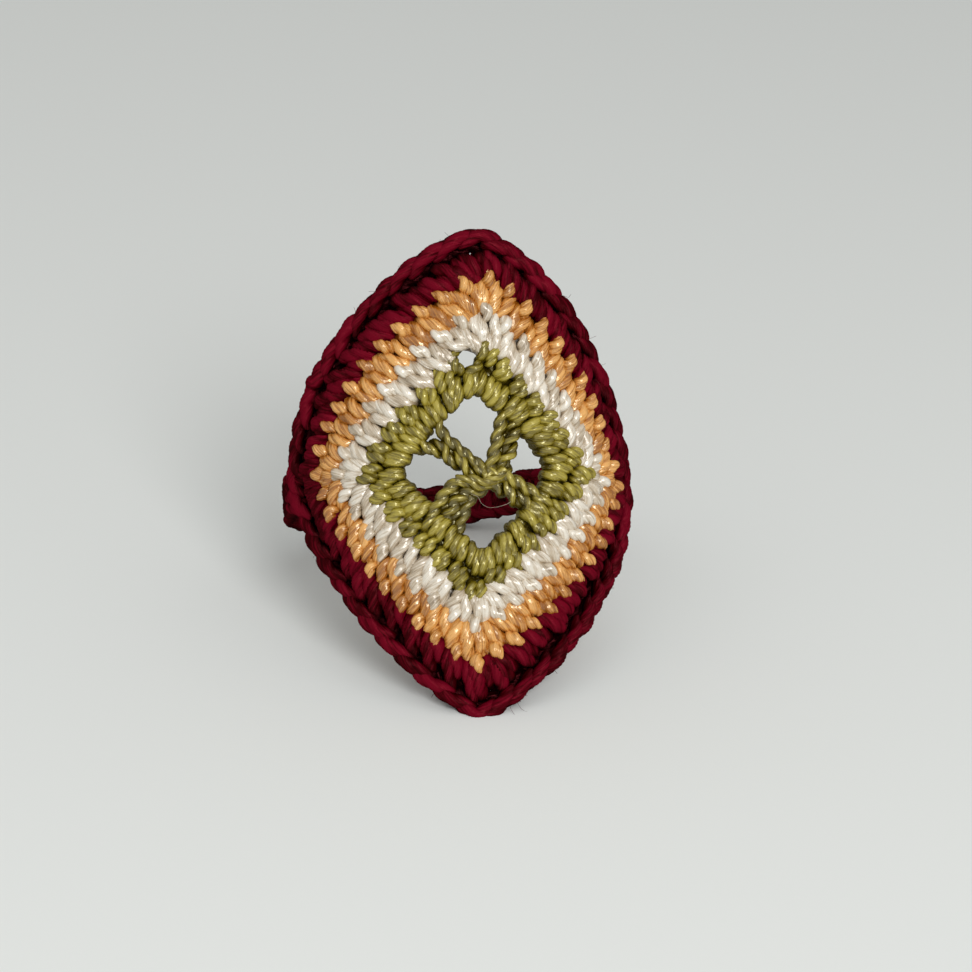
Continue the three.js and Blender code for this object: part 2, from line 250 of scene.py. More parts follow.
class Thread:
    """Gathers plied threads into one mesh."""

    def __init__(self):
        self.points, self.grains, self.fibres, self.tones_and_shades = [], [], [], []
        self.quads, self.caps = [], {}
        self.count = 0

    def add(self, controls, twist=TWIST_LENGTH, ply=PLY_SHARE, sides=SIDES, step=STEP):
        """Controls hold across, up, lift and radius of each point of each thread."""
        controls = np.asarray(controls, float)
        rough = np.linalg.norm(np.diff(controls[..., :3], axis=1), axis=-1).sum(1).mean()
        curve = smooth(controls, max(int(rough / step), LEAST_RINGS))
        radius = np.maximum(curve[..., 3], LEAST_RADIUS)
        flat = clear_gaps(curve[..., :3], radius)
        path = ring_point(flat[..., 0], flat[..., 1], flat[..., 2])
        tangent, normal, side = carried_frames(path)
        steps = np.linalg.norm(np.diff(path, axis=1), axis=-1)
        length = np.concatenate([np.zeros((len(path), 1)), np.cumsum(steps, 1)], 1)
        around = np.linspace(0, 2 * math.pi, sides, endpoint=False)
        profile = ply_profile(around, ply)
        turn = random.uniform(0, 2 * math.pi, (len(path), 1)) + 2 * math.pi * length / twist
        angle = (turn[..., None] + around)[..., None]
        rim = np.cos(angle) * normal[..., None, :] + np.sin(angle) * side[..., None, :]
        circling = np.cos(angle) * side[..., None, :] - np.sin(angle) * normal[..., None, :]
        reach = (radius[..., None] * profile)[..., None]
        tube = path[..., None, :] + reach * rim
        # The fibres turn half as fast as the plies
        grain = lean_back(unit(tangent[..., None, :] + math.pi / twist * reach * circling))
        fibre_angle = around + math.pi * length[..., None] / twist
        # Painted shade and highlight: the tone is lighter on the crowns of the plies, darker in the grooves
        # between them, and darker again in the gaps between stitches near the middle of the fabric's
        # thickness
        height = np.hypot(tube[..., 0], RING_RADIUS - tube[..., 1]) - RING_RADIUS
        shade = PAINTED_GAP_SHADE * np.clip(1 - np.abs(height - FABRIC_MIDDLE) / GAP_REACH, 0, 1)
        self.keep_tube(tube, grain, length, fibre_angle, profile - shade)

    def keep_tube(self, tube, grain, length, fibre_angle, painted_ply_and_gap_shade):
        """Keeps the points and faces of the tubes, and the values that their material reads."""
        threads, rings, sides, _ = tube.shape
        shift = random.uniform(0, FIBRE_PATTERN, (threads, 1, 1))
        along = length[..., None] + shift + 0 * fibre_angle
        fibre = np.stack([along, np.cos(fibre_angle), np.sin(fibre_angle)], -1)
        # Random tone for each thread, with the painted shade and highlight of its plies and of the gaps
        tone_and_shade = TONE_SPREAD * random.uniform(0, 1, (threads, 1, 1)) + painted_ply_and_gap_shade + TONE_LEVEL
        index = self.count + np.arange(threads * rings * sides).reshape(threads, rings, sides)
        here, ahead = index[:, :-1], index[:, 1:]
        quads = np.stack([here, np.roll(here, -1, 2), np.roll(ahead, -1, 2), ahead], -1)
        caps = np.concatenate([index[:, 0, ::-1], index[:, -1]])
        self.points.append(row_point(tube).reshape(-1, 3))
        self.grains.append(grain.reshape(-1, 3))
        self.fibres.append(fibre.reshape(-1, 3))
        self.tones_and_shades.append(tone_and_shade.reshape(-1))
        self.quads.append(quads.reshape(-1, 4))
        self.caps.setdefault(sides, []).append(caps)
        self.count += threads * rings * sides

    def build(self, name, material, body, slot, replaced=()):
        """One object of all the threads, attached to its body when it is given one. A piece that is blended
        between bodies is given no body here.
        """
        mesh = bpy.data.meshes.new(name)
        polygons = [np.concatenate(self.quads)] + [np.concatenate(caps) for caps in self.caps.values()]
        corners = np.concatenate([group.ravel() for group in polygons])
        sizes = np.concatenate([np.full(len(group), group.shape[1]) for group in polygons])
        starts = np.concatenate([[0], np.cumsum(sizes)[:-1]])
        mesh.vertices.add(self.count)
        mesh.vertices.foreach_set("co", np.concatenate(self.points).astype(np.float32).ravel())
        mesh.loops.add(len(corners))
        mesh.loops.foreach_set("vertex_index", corners.astype(np.int32))
        mesh.polygons.add(len(sizes))
        mesh.polygons.foreach_set("loop_start", starts.astype(np.int32))
        mesh.update(calc_edges=True)
        mesh.shade_smooth()
        for word, vectors in (("fibre", self.fibres), ("grain", self.grains)):
            values = mesh.attributes.new(word, "FLOAT_VECTOR", "POINT")
            values.data.foreach_set("vector", np.concatenate(vectors).astype(np.float32).ravel())
        # The tone attribute carries random tone with painted shade and highlight
        tone_and_shade = mesh.attributes.new("tone_and_shade", "FLOAT", "POINT")
        tone_and_shade.data.foreach_set("value", np.concatenate(self.tones_and_shades).astype(np.float32))
        mesh.materials.append(material)
        piece = bpy.data.objects.new(name, mesh)
        bpy.context.scene.collection.objects.link(piece)
        if body:
            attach(piece, body)
        if replaced:
            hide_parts(*replaced)
        return piece


# Stitches

def drawn(count, *points):
    """Control points of many threads. Each value is one number, or one number for each thread."""
    columns = [np.stack([np.broadcast_to(value, count) for value in point], -1) for point in points]
    return np.stack(columns, 1)


def set_out(template, place, along, out, loosen=LOOSEN):
    """Copies a template of (along, out, lift, radius) points to many places in the flat pattern."""
    template = np.asarray(template, float)
    if template.ndim == 2:
        template = np.broadcast_to(template, (len(place),) + template.shape)
    flat = place[:, None] + template[..., :1] * along[:, None] + template[..., 1:2] * out[:, None]
    stray = random.normal(0, loosen, template.shape[:1] + (1, 3))
    controls = np.concatenate([flat, template[..., 2:4]], -1)
    controls[..., :3] += stray * STRAY_PARTS
    controls[..., 3] *= random.normal(1, RADIUS_SPREAD, (len(place), 1))
    return controls


# Stitches that share a hole stand this far apart in it, as a share of the stitch below. Legs start
# this far out from the hole.
HOLE_SPREAD = 0.3
SHOULDER = 0.05


def worked_into(count, below):
    """For each stitch of a round, the share of the round below where it is worked in. The stitches that
    a side gains are worked in pairs beside its corners."""
    side, side_below = count // 4, below // 4
    index = np.arange(count)
    quarter, local = index // side, index % side
    place = local - (side - side_below) / 2
    hole = np.clip(np.floor(place), 0, side_below - 1)
    return (quarter * side_below + hole + 0.5 + HOLE_SPREAD * (place - hole)) / below


class Stitches:
    """The places of one round of stitches: where each starts, how far it runs and which way."""

    def __init__(self, inner, outer, start, count):
        self.count = count
        self.base = inner.at(start)
        self.top = outer.at((np.arange(count) + 1) / count)
        self.run = np.linalg.norm(self.top - self.base, axis=1)
        self.out = unit(self.top - self.base)
        self.along = np.stack([-self.out[:, 1], self.out[:, 0]], -1)


def leg_pairs(thread, row, near, far, crest, radius, reach=(1.0, 1.0), ply=PLY_SHARE):
    """The two legs of each stitch. They come up through one hole of the round below, part as they run
    out over the front, from near to far of the stitch's middle, and go back behind the fabric. Crest is
    how high they lie, and reach is the range of how much of the stitch's run they take up."""
    for side in (-1, 1):
        run = random.uniform(*reach, row.count) * row.run
        legs = drawn(
            row.count,
            (side * 0.10, SHOULDER + 0.28, -0.15, 0.80 * radius),
            (side * near * 0.9, SHOULDER, 0.10, 0.92 * radius),
            (side * near, SHOULDER + 0.16, crest - 0.12, radius),
            (side * (0.65 * near + 0.35 * far), 0.45 * run, crest, 1.04 * radius),
            (side * (0.25 * near + 0.75 * far), 0.74 * run, crest - 0.14, 0.98 * radius),
            (side * far, 0.97 * run, 0.10, 0.90 * radius),
            (side * far * 0.9, 1.05 * run, -0.15, 0.84 * radius),
            (side * 0.34, 0.80 * run, -0.40, 0.90 * radius),
            (side * 0.24, 0.40 * run, -0.46, 0.90 * radius),
            (side * 0.14, SHOULDER + 0.12, -0.38, 0.84 * radius),
            (side * 0.10, SHOULDER + 0.28, -0.15, 0.80 * radius))
        thread.add(set_out(legs, row.base, row.along, row.out, loosen=0.04), ply=ply)


def top_loops(thread, row, template, twist, ply):
    """The loop that closes each stitch, showing between the stitches of the next round."""
    loops = set_out(template, row.top, row.along, row.out, loosen=0.05)
    thread.add(loops, twist=twist, ply=ply, step=0.07)


# Threads along the back: how finely they are drawn, and the depth and number of their waves
BAR_POINTS = 97
BAR_STEP = 0.2
BAR_WAVE = 0.08
BAR_WAVES = 36


def back_bars(thread, inner, outer, place, lift, radius):
    """A thread that runs along the back of a round, behind its stitches."""
    share = np.linspace(0, 1, BAR_POINTS)
    line = (1 - place) * inner.at(share) + place * outer.at(share)
    wave = BAR_WAVE * np.sin(share * 2 * math.pi * BAR_WAVES)
    thread.add(np.column_stack([line, lift + wave, np.full_like(share, radius)])[None], step=BAR_STEP)


# The loops that close stitches, as (along, out, lift, radius)
PLAIN_LOOP = [
    (0.00, -0.60, 0.15, 0.26), (0.00, -0.42, 0.48, 0.36), (0.00, -0.10, 0.70, 0.40),
    (0.02, 0.20, 0.66, 0.35), (0.04, 0.42, 0.46, 0.25), (0.05, 0.60, 0.15, 0.15),
]
COLUMN_LOOP = [
    (0.02, -0.88, 0.10, 0.24), (0.03, -0.70, 0.44, 0.34), (0.00, -0.36, 0.60, 0.38),
    (-0.03, 0.00, 0.52, 0.35), (-0.02, 0.26, 0.30, 0.28), (0.00, 0.36, -0.05, 0.20),
]
PULLED_LOOP = [
    (0.00, -0.50, 0.20, 0.30), (0.00, -0.28, 0.56, 0.40), (0.01, -0.02, 0.74, 0.38),
    (0.03, 0.22, 0.74, 0.27), (0.05, 0.44, 0.68, 0.15), (0.08, 0.62, 0.60, 0.06),
]


# Materials

# The fibres: the scale of their pattern along and across the thread, and the height of their relief in
# metres
FIBRE_SCALE = (0.6, 2.2, 2.2)
FIBRE_RELIEF = 0.00004

# Where the shaded, the plain and the lit colour of a thread lie in its tones. Besides darker and lighter
# fibres they give painted shade in grooves and gaps and a painted highlight on the crowns of the plies.
TONE_PLACES = (0.38, 0.52, 0.65)

# The glints: how wide and strong they are on a glossy thread, and how far all glints are drawn out
# across the fibres, which is a quarter turn from the grain
GLOSS_ROUGHNESS = 0.27
GLOSS_IOR = 1.8
GLINT_STRETCH = 0.8
QUARTER_TURN = 0.25


def node(tree, kind, **inputs):
    """A new node with these inputs, whose names have underscores for spaces."""
    made = tree.nodes.new(kind)
    for name, value in inputs.items():
        made.inputs[name.replace("_", " ")].default_value = value
    return made


def attribute(tree, name):
    """A node that reads a value of the mesh."""
    made = tree.nodes.new("ShaderNodeAttribute")
    made.attribute_name = name
    return made


def colour_ramp(tree, *stops):
    """A ramp through two or more stops, each a place and a colour, in order."""
    ramp = tree.nodes.new("ShaderNodeValToRGB")
    elements = ramp.color_ramp.elements
    while len(elements) < len(stops):
        elements.new(1.0)
    for element, (place, colour) in zip(elements, stops):
        element.position = place
        element.color = (*colour, 1)
    return ramp


def thread_material(name, shade, colour, light, glint=(1.0, 1.0, 1.0), gloss=0.0, evenness=0.4,
                    satin=None, polish=0.30):
    """Twisted satin cotton: fine fibres along each ply, painted shade between the plies and in the gaps
    between stitches, a painted highlight on the crowns, no two threads quite alike. The glints run across
    the fibres. On pale thread they come from its gloss, and on the others from a satin layer of its own
    colour and roughness, which leaves no grey rims."""
    material = bpy.data.materials.new(name)
    material.use_nodes = True
    tree = material.node_tree
    tree.nodes.clear()
    link = tree.links.new
    stretch = node(tree, "ShaderNodeMapping", Scale=FIBRE_SCALE)
    link(attribute(tree, "fibre").outputs["Vector"], stretch.inputs["Vector"])
    streaks = node(tree, "ShaderNodeTexNoise", Scale=1.6, Detail=3.0, Roughness=0.6)
    link(stretch.outputs["Vector"], streaks.inputs["Vector"])
    mixed = node(tree, "ShaderNodeMix", Factor=evenness)
    link(streaks.outputs["Fac"], mixed.inputs["A"])
    link(attribute(tree, "tone_and_shade").outputs["Fac"], mixed.inputs["B"])
    ramp = colour_ramp(tree, *zip(TONE_PLACES, (shade, colour, light)))
    link(mixed.outputs["Result"], ramp.inputs["Fac"])
    bundles = node(tree, "ShaderNodeTexNoise", Scale=1.8, Detail=1.0, Roughness=0.4)
    link(stretch.outputs["Vector"], bundles.inputs["Vector"])
    bump = node(tree, "ShaderNodeBump", Strength=1.0, Distance=FIBRE_RELIEF)
    link(bundles.outputs["Fac"], bump.inputs["Height"])
    turned = tree.nodes.new("ShaderNodeVectorTransform")
    turned.vector_type = "VECTOR"
    turned.convert_from = "OBJECT"
    turned.convert_to = "WORLD"
    link(attribute(tree, "grain").outputs["Vector"], turned.inputs["Vector"])
    shader = node(
        tree, "ShaderNodeBsdfPrincipled", Roughness=GLOSS_ROUGHNESS, IOR=GLOSS_IOR, Specular_IOR_Level=gloss,
        Specular_Tint=(*glint, 1), Anisotropic=GLINT_STRETCH, Anisotropic_Rotation=QUARTER_TURN)
    link(ramp.outputs["Color"], shader.inputs["Base Color"])
    link(bump.outputs["Normal"], shader.inputs["Normal"])
    link(turned.outputs["Vector"], shader.inputs["Tangent"])
    surface = shader.outputs["BSDF"]
    if satin:
        sheen = node(
            tree, "ShaderNodeBsdfAnisotropic", Color=(*satin, 1), Roughness=polish, Anisotropy=GLINT_STRETCH,
            Rotation=QUARTER_TURN)
        link(bump.outputs["Normal"], sheen.inputs["Normal"])
        link(turned.outputs["Vector"], sheen.inputs["Tangent"])
        both = tree.nodes.new("ShaderNodeAddShader")
        link(surface, both.inputs[0])
        link(sheen.outputs["BSDF"], both.inputs[1])
        surface = both.outputs["Shader"]
    output = tree.nodes.new("ShaderNodeOutputMaterial")
    link(surface, output.inputs["Surface"])
    return material


olive_thread = thread_material(
    "olive_thread", shade=(0.042, 0.028, 0.001), colour=(0.132, 0.096, 0.004), light=(0.345, 0.275, 0.036),
    satin=(0.130, 0.121, 0.072), polish=0.11)
cream_thread = thread_material(
    "cream_thread", shade=(0.26, 0.18, 0.10), colour=(0.55, 0.44, 0.308), light=(0.84, 0.765, 0.648),
    glint=(1.0, 0.98, 0.94), gloss=1.0)
orange_thread = thread_material(
    "orange_thread", shade=(0.17, 0.040, 0.002), colour=(0.355, 0.116, 0.009), light=(0.70, 0.348, 0.094),
    satin=(0.140, 0.124, 0.091), polish=0.11)
# The burgundy's lit colour, reached on the crowns of the plies, is partly a painted highlight in place of
# glints
burgundy_thread = thread_material(
    "burgundy_thread", shade=(0.006, 0.0001, 0.0002), colour=(0.036, 0.0001, 0.0014),
    light=(0.14, 0.002, 0.011), evenness=0.5, satin=(0.026, 0.0035, 0.0045))


# The olive cross: each thread has a route through the middle of the lace, a lift, a radius and the
# number of strands wound together
CROSS_THREADS = [
    ([(1.1, -0.4), (0.5, 0.1), (-0.5, 0.95), (-1.05, 1.5), (-1.5, 1.9), (-1.88, 2.5), (-2.1, 3.2),
      (-2.4, 3.9)], 0.12, 0.37, 1),
    ([(1.2, -0.6), (0.55, -0.2), (-0.15, 0.1), (-0.75, 0.45), (-1.35, 0.9), (-1.9, 1.35), (-2.5, 1.55),
      (-3.7, 1.7)], 0.0, 0.32, 2),
    ([(0.55, -0.6), (0.75, 0.3), (0.95, 0.85), (1.15, 1.5), (1.35, 2.3), (1.7, 3.4)], 0.15, 0.42, 1),
    ([(1.1, -0.7), (1.4, -0.05), (1.68, 0.65), (1.9, 1.25), (2.08, 1.9), (2.5, 2.9)], 0.0, 0.32, 2),
    ([(0.3, 0.1), (0.8, -0.1), (1.45, -0.25), (2.1, -0.6), (2.75, -1.05), (3.9, -1.65)], 0.2, 0.42, 1),
    ([(0.3, -0.2), (0.75, -0.45), (1.25, -0.8), (1.8, -1.25), (2.45, -1.7), (3.5, -2.45)], -0.05, 0.33, 2),
    ([(1.0, -0.3), (0.15, -0.7), (-0.8, -0.45), (-1.5, -0.75), (-2.0, -1.35), (-2.7, -2.3)], 0.25, 0.40, 1),
    ([(0.7, -0.6), (0.1, -1.0), (-0.65, -1.1), (-1.25, -1.55), (-1.5, -2.0), (-2.1, -2.8)], 0.0, 0.45, 1),
    ([(0.6, -0.7), (-0.1, -1.1), (-0.55, -1.65), (-0.8, -2.2), (-1.25, -3.3)], -0.1, 0.38, 1),
    ([(0.2, -0.9), (-0.7, -0.8), (-1.4, -1.15), (-1.75, -1.7), (-2.4, -2.55)], -0.25, 0.42, 1),
    ([(0.2, -1.0), (-0.45, -1.35), (-0.95, -1.75), (-1.2, -2.2), (-1.6, -3.0)], -0.25, 0.42, 1),
    ([(0.8, -0.5), (0.1, 0.0), (-0.6, 0.65), (-1.2, 1.15), (-1.7, 1.6)], -0.25, 0.32, 1),
    ([(0.9, -0.5), (1.1, 0.2), (1.35, 0.8), (1.55, 1.45), (1.75, 2.1)], -0.25, 0.30, 1),
    ([(-1.2, -0.35), (-0.4, -0.35), (0.3, -0.55), (0.95, -0.35), (1.5, 0.1)], 0.45, 0.30, 1),
]
ROUTE_POINTS = 40
ROUTE_SKIP = 3

# Strands wound together: the length of one turn, and how far they lie from the middle in radii
STRAND_WIND = 2.3
STRAND_OFFSET = 0.85


def cross_thread(thread, route, lift, radius, strands):
    """One or more threads along a route, wound round each other."""
    line = np.array([(*point, lift, radius) for point in route])[None]
    curve = smooth(line, ROUTE_POINTS)[0]
    along = unit(np.gradient(curve[:, :2], axis=0))
    across = np.stack([-along[:, 1], along[:, 0]], -1)
    steps = np.linalg.norm(np.diff(curve[:, :2], axis=0), axis=1)
    length = np.concatenate([[0], np.cumsum(steps)])
    reach = STRAND_OFFSET * radius * (strands > 1)
    start = random.uniform(0, 2 * math.pi)
    for strand in range(strands):
        turn = start + 2 * math.pi * (length / STRAND_WIND + strand / strands)
        wound = curve.copy()
        wound[:, :2] += across * (reach * np.cos(turn))[:, None]
        wound[:, 2] += reach * np.sin(turn)
        thread.add(wound[None, ::ROUTE_SKIP], twist=1.7, ply=0.66, step=0.08)


cross = Thread()
for route, lift, radius, strands in CROSS_THREADS:
    cross_thread(cross, route, lift, radius, strands)
cross.build("lace_cross", olive_thread, "motif", "olive_thread", (
    "centre_knot", "post_upper_right", "post_upper_left", "post_lower_left", "post_lower_right"))


# The olive round: plump wraps round the edge of the opening, each as (along, out, lift, radius), pairs
# of columns beyond them, and threads along the back. A wrap starts somewhere in the middle of its
# share of the edge, and leans by a part of that share.
WRAP = [
    (0.00, 1.10, -0.30, 0.28), (-0.05, 0.80, -0.46, 0.31), (-0.08, 0.46, -0.40, 0.32),
    (-0.08, 0.34, 0.0, 0.32), (-0.05, 0.46, 0.34, 0.33), (0.00, 0.84, 0.48, 0.33),
    (0.08, 1.20, 0.40, 0.31), (0.12, 1.48, 0.10, 0.28),
]
WRAP_START = (0.3, 0.7)
WRAP_LEAN = 0.35
COLUMN_SHIFT = np.array([0.25, 0.05, 0.04, 0])

olive_round = Thread()
share = (np.arange(OLIVE_WRAPS) + random.uniform(*WRAP_START, OLIVE_WRAPS)) / OLIVE_WRAPS
wrap_base, wrap_top = opening.at(share), olive_edge.at(share + WRAP_LEAN / OLIVE_WRAPS)
wrap_out = unit(wrap_top - wrap_base)
wrap_along = np.stack([-wrap_out[:, 1], wrap_out[:, 0]], -1)
olive_round.add(set_out(WRAP, wrap_base, wrap_along, wrap_out, loosen=0.06), twist=1.8, ply=0.80)
row = Stitches(opening, olive_edge, (np.arange(OLIVE_STITCHES) + 0.5) / OLIVE_STITCHES, OLIVE_STITCHES)
for side in (-1, 1):
    top_loops(olive_round, row, np.array(COLUMN_LOOP) + side * COLUMN_SHIFT, twist=1.2, ply=0.74)
for place in (0.32, 0.54, 0.76, 1.0):
    back_bars(olive_round, opening, olive_edge, place, lift=-0.30, radius=0.42)
olive_round.build("olive_stitches", olive_thread, "motif", "olive_thread", (
    "olive_round", "chain_arc_right", "chain_arc_top", "chain_arc_left", "chain_arc_bottom"))


# The cream, orange and burgundy rounds. The border's thread is fuller than the others'.
FULL_PLY = 0.84

cream_round = Thread()
row = Stitches(olive_edge, cream_edge, worked_into(CREAM_STITCHES, OLIVE_STITCHES), CREAM_STITCHES)
leg_pairs(cream_round, row, near=0.22, far=0.46, crest=0.56, radius=0.40)
top_loops(cream_round, row, PLAIN_LOOP, twist=1.5, ply=0.74)
for place in (0.05, 0.4, 0.75):
    back_bars(cream_round, olive_edge, cream_edge, place, lift=-0.25, radius=0.40)
cream_round.build("cream_stitches", cream_thread, "motif", "cream_thread", ("cream_round",))

orange_round = Thread()
row = Stitches(cream_edge, orange_edge, worked_into(ORANGE_STITCHES, CREAM_STITCHES), ORANGE_STITCHES)
leg_pairs(orange_round, row, near=0.24, far=0.42, crest=0.56, radius=0.40, reach=(0.86, 0.98))
top_loops(orange_round, row, PULLED_LOOP, twist=1.1, ply=0.80)
back_bars(orange_round, cream_edge, orange_edge, 0.5, lift=-0.25, radius=0.48)
orange_round.build("orange_stitches", orange_thread, "motif", "orange_thread", ("orange_round",))

border = Thread()
start = worked_into(BURGUNDY_STITCHES, ORANGE_STITCHES)
row = Stitches(orange_edge, burgundy_edge, start, BURGUNDY_STITCHES)
leg_pairs(border, row, near=0.22, far=0.26, crest=0.44, radius=0.46, reach=(0.60, 0.92), ply=FULL_PLY)
for place, lift in ((0.3, -0.5), (0.75, -0.8), (1.15, -0.5)):
    back_bars(border, orange_edge, burgundy_edge, place, lift, radius=0.46)
border.build("border_stitches", burgundy_thread, "motif", "burgundy_thread", ("burgundy_border",))


# The edge chain: slanting loops that lie over each other, as (share of the pitch, out, lift, radius)
FRONT_LOOP = [
    (-0.25, 0.06, 0.00, 0.30), (0.15, 0.09, 0.28, 0.41), (0.60, -0.01, 0.38, 0.43),
    (1.05, -0.20, 0.30, 0.40), (1.45, -0.40, 0.02, 0.30),
]
BACK_LOOP = [
    (-0.10, 0.02, 0.05, 0.28), (0.25, 0.04, -0.22, 0.42), (0.65, 0.00, -0.32, 0.45),
    (1.05, -0.18, -0.26, 0.41), (1.35, -0.40, 0.00, 0.30),
]
CHAIN_TWIST = 2.4

# Where the first loop starts, as a share of the pitch
CHAIN_START = 0.3


def edge_loops(thread, centres, along, out, pitch, template):
    """A chain of slanting loops along an edge."""
    loop = np.array(template) * np.array([pitch, 1, 1, 1])
    thread.add(set_out(loop, centres, along, out), twist=CHAIN_TWIST, ply=FULL_PLY)


def round_loops(thread, outline, count, template):
    """The same chain along a closed outline, each loop bent to follow it."""
    ahead, beyond, lift, radius = np.array(template).T
    share = (np.arange(count)[:, None] + CHAIN_START + ahead) / count
    place = outline.at(share) + beyond[:, None] * outline.axes(share)[1]
    rest = np.broadcast_to(np.stack([lift, radius], -1), place.shape)
    loops = np.concatenate([place, rest], -1)
    loops[..., :3] += random.normal(0, LOOSEN, (count, 1, 3))
    loops[..., 3] *= random.normal(1, RADIUS_SPREAD, (count, 1))
    thread.add(loops, twist=CHAIN_TWIST, ply=FULL_PLY)


edge = Thread()
for template in (FRONT_LOOP, BACK_LOOP):
    round_loops(edge, outer_edge, BURGUNDY_STITCHES, template)
edge.build("edge_chain", burgundy_thread, "motif", "burgundy_thread", ("border_edge_chain",))


# The band: legs across it, a chain along both rims and a core of threads. The legs and the rims stay
# inside its width, the core stays inside its length, and the chains are flatter and set back.
LEG_INSET = 0.45
LEAST_LEG = 0.5
RIM_INSET = 0.36
RIM_FLATTER = np.array([1, 1, 0.4, 0.85])
RIM_SET_BACK = np.array([0, 0, 0.2, 0])
CORE_INSET = 0.4
CORE_POINTS = 80
CORE_STEP = 0.25
CORE_LIFT = -0.18
CORE_RADIUS = 0.42


def band_up(across):
    """How high the middle of the band lies. It drops towards the back, and twists a little."""
    turn = (across - math.pi * RING_RADIUS) / (math.pi * RING_RADIUS - BAND_START)
    fade = np.cos(turn * math.pi / 2)
    slope = -BAND_TWIST * RING_RADIUS * np.sin(across / RING_RADIUS - math.pi)
    return BAND_ROOT_UP - BAND_BACK_DROP * fade ** 2 + slope * fade


def band_half_width(across):
    """Half the width of the band, which narrows towards the back and has round ends."""
    from_end = np.minimum(across - BAND_START, BAND_END - across)
    taper = np.clip(from_end / BAND_TAPER, 0, 1)
    taper = taper ** 2 * (3 - 2 * taper)
    plain = (BAND_ROOT_WIDTH + (BAND_BACK_WIDTH - BAND_ROOT_WIDTH) * taper) / 2
    rounding = np.clip(from_end / (BAND_ROOT_WIDTH / 2), 0.02, 1)
    return plain * np.sqrt(1 - (1 - rounding) ** 2)


band = Thread()
band_pitch = (BAND_END - BAND_START) / BAND_STITCHES
across = BAND_START + band_pitch * (np.arange(BAND_STITCHES) + 0.5)
reach = np.maximum(band_half_width(across) - LEG_INSET, LEAST_LEG)
centre = np.stack([across, band_up(across)], -1)
ahead = np.tile([1.0, 0.0], (BAND_STITCHES, 1))
upward = np.tile([0.0, 1.0], (BAND_STITCHES, 1))
for side in (-1, 1):
    legs = drawn(
        BAND_STITCHES,
        (side * 0.26, -reach, -0.15, 0.30), (side * 0.30, -reach - 0.1, -0.04, 0.34),
        (side * 0.33, -0.4 * reach, 0.00, 0.36), (side * 0.35, 0.4 * reach, 0.00, 0.36),
        (side * 0.34, reach, -0.06, 0.34), (side * 0.30, reach + 0.1, -0.18, 0.32),
        (side * 0.33, 0.4 * reach, -0.38, 0.36), (side * 0.30, -0.4 * reach, -0.38, 0.36),
        (side * 0.26, -reach, -0.15, 0.30))
    band.add(set_out(legs, centre, ahead, upward))
for rim in (-1, 1):
    rim_place = centre + upward * (rim * (band_half_width(across) - RIM_INSET))[:, None]
    for template in (FRONT_LOOP, BACK_LOOP):
        flatter = np.array(template) * RIM_FLATTER - RIM_SET_BACK
        edge_loops(band, rim_place, ahead, upward * rim, band_pitch, flatter)
core_across = np.linspace(BAND_START + CORE_INSET, BAND_END - CORE_INSET, CORE_POINTS)
core_lift = np.full_like(core_across, CORE_LIFT)
core_radius = np.full_like(core_across, CORE_RADIUS)
for place in (-0.5, 0.0, 0.5):
    core_up = band_up(core_across) + place * band_half_width(core_across)
    band.add(np.column_stack([core_across, core_up, core_lift, core_radius])[None], step=CORE_STEP)
band.build("band_stitches", burgundy_thread, "band", "burgundy_thread", ("finger_band",))


# The joins: stitches over the seams between the side corners and the ends of the band, each as (along, out,
# lift, radius), and two places across each seam, which are turned into points but not used.
JOIN_SEAM = BAND_START - 0.15
JOIN_UPS = BAND_ROOT_UP + np.array([-0.85, -0.28, 0.28, 0.85])
JOIN_STITCH = [
    (-0.16, -1.7, -0.05, 0.22), (-0.12, -1.1, 0.10, 0.28), (-0.05, -0.35, 0.14, 0.30),
    (0.05, 0.3, 0.14, 0.30), (0.12, 0.9, 0.10, 0.28), (0.16, 1.3, -0.05, 0.22),
]
JOIN_BLEND = (BAND_START - 0.6, BAND_START + 0.8)


def join_stitches(side):
    """The stitches over one seam, on the right for side 1 and on the left for side -1."""
    thread = Thread()
    count = len(JOIN_UPS)
    place = np.stack([np.full(count, side * JOIN_SEAM), JOIN_UPS], -1)
    along = np.tile([0.0, 1.0], (count, 1))
    out = np.tile([float(side), 0.0], (count, 1))
    thread.add(set_out(JOIN_STITCH, place, along, out))
    return thread


for side, word in ((1, "right"), (-1, "left")):
    join = join_stitches(side).build(
        f"join_stitches_{word}", burgundy_thread, None, "burgundy_thread", (f"band_join_{word}",))
    start, end = (row_point(ring_point(side * across, BAND_ROOT_UP, 0.0)) for across in JOIN_BLEND)
    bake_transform(join)


# Loose fibres: fine hairs on the edge, and one stray fibre across the lower opening. A fibre is a
# single ply with few sides. Hairs grow on this part of the upper and of the lower half of the edge.
# Their tilt, bend and rise vary by these amounts, their length by the shape and scale of a gamma
# distribution, and their lift by its mean and spread.
HAIR_COUNT = 150
HAIR_RADIUS = 0.009
HAIR_STAGES = (0.0, 0.35, 0.7, 1.0)
HAIR_START = 0.2
HAIR_PART = (0.1, 0.9)
HAIR_TILT = 0.9
HAIR_BEND = 0.35
HAIR_LENGTH = (2.0, 0.13)
HAIR_LIFT = (0.05, 0.25)
HAIR_RISE = 0.25
STRAY_ROUTE = [
    (-0.4, -1.2), (-0.05, -1.36), (0.15, -1.75), (0.53, -1.98), (1.1, -1.95), (1.66, -1.77), (2.1, -1.4),
]
STRAY_LIFT = 0.35
STRAY_RADIUS = 0.012
FIBRE_TWIST = 4.0


